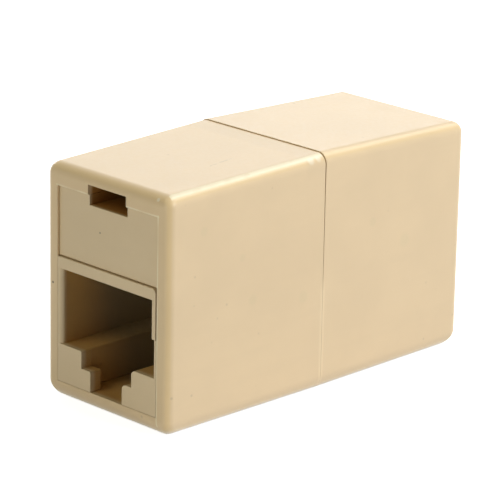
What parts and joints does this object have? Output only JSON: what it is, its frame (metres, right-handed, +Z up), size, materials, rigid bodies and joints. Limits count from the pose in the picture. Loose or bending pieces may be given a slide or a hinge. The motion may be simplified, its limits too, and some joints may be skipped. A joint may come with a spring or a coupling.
{
  "type": "inline modular plug coupler",
  "caption": "Short rectangular block with a modular plug socket in each end, joining two network patch cords end to end.",
  "frame": {"origin": "middle of the flat underside that the coupler rests on", "axes": "+Y from the front socket to the back socket, +Z up, +X to the right as seen looking into the front socket"},
  "size_m": [0.0166, 0.0384, 0.0229],
  "materials": {
    "housing": "fine satin moulded ABS, warm beige",
    "insert": "satin moulded PBT, darker greyish beige",
    "contact": "gold-plated phosphor bronze strip",
    "board": "glass-epoxy board with green mask"
  },
  "bodies": {
    "root": {"front_shell": "housing", "back_shell": "housing", "front_jack_body": "insert", "back_jack_body": "insert", "front_contact_carrier": "insert", "back_contact_carrier": "insert", "front_contact_1": "contact", "front_contact_2": "contact", "front_contact_3": "contact", "front_contact_4": "contact", "front_contact_5": "contact", "front_contact_6": "contact", "front_contact_7": "contact", "front_contact_8": "contact", "back_contact_1": "contact", "back_contact_2": "contact", "back_contact_3": "contact", "back_contact_4": "contact", "back_contact_5": "contact", "back_contact_6": "contact", "back_contact_7": "contact", "back_contact_8": "contact", "circuit_board": "board"}
  },
  "joints": []
}
